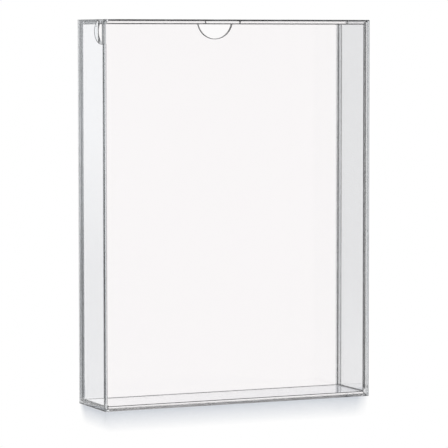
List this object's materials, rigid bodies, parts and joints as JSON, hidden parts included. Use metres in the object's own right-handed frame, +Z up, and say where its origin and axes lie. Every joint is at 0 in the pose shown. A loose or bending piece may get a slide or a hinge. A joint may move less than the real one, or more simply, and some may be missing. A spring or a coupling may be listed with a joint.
{
  "type": "card deck box",
  "caption": "Upright clear plastic box for a deck or stack of cards, with a closed front and a back panel with a thumb notch that slides up and out.",
  "frame": {"origin": "middle of the footprint, on the surface the box stands on", "axes": "+Z up, the closed front faces -Y, the sliding panel is at +Y, +X to the right as seen from the front"},
  "size_m": [0.0802, 0.0192, 0.106],
  "materials": {
    "clear_panel": "polished clear acrylic, glossy, very slightly warm white",
    "clear_wall": "polished clear acrylic, glossy, very slightly cool grey",
    "clear_strip": "polished clear acrylic strip, glossy, reads grey along its edges"
  },
  "bodies": {
    "box": {"front_panel": "clear_panel", "left_wall": "clear_wall", "right_wall": "clear_wall", "top_wall": "clear_wall", "bottom_wall": "clear_wall", "left_inner_strip": "clear_strip", "right_inner_strip": "clear_strip", "left_rear_strip": "clear_strip", "right_rear_strip": "clear_strip", "bottom_rear_strip": "clear_strip"},
    "panel": {"sliding_panel": "clear_panel"}
  },
  "joints": [
    {"name": "panel_slide", "type": "slide", "parent": "box", "child": "panel", "axis": [0, 0, 1], "range_m": [0, 0.108]}
  ]
}
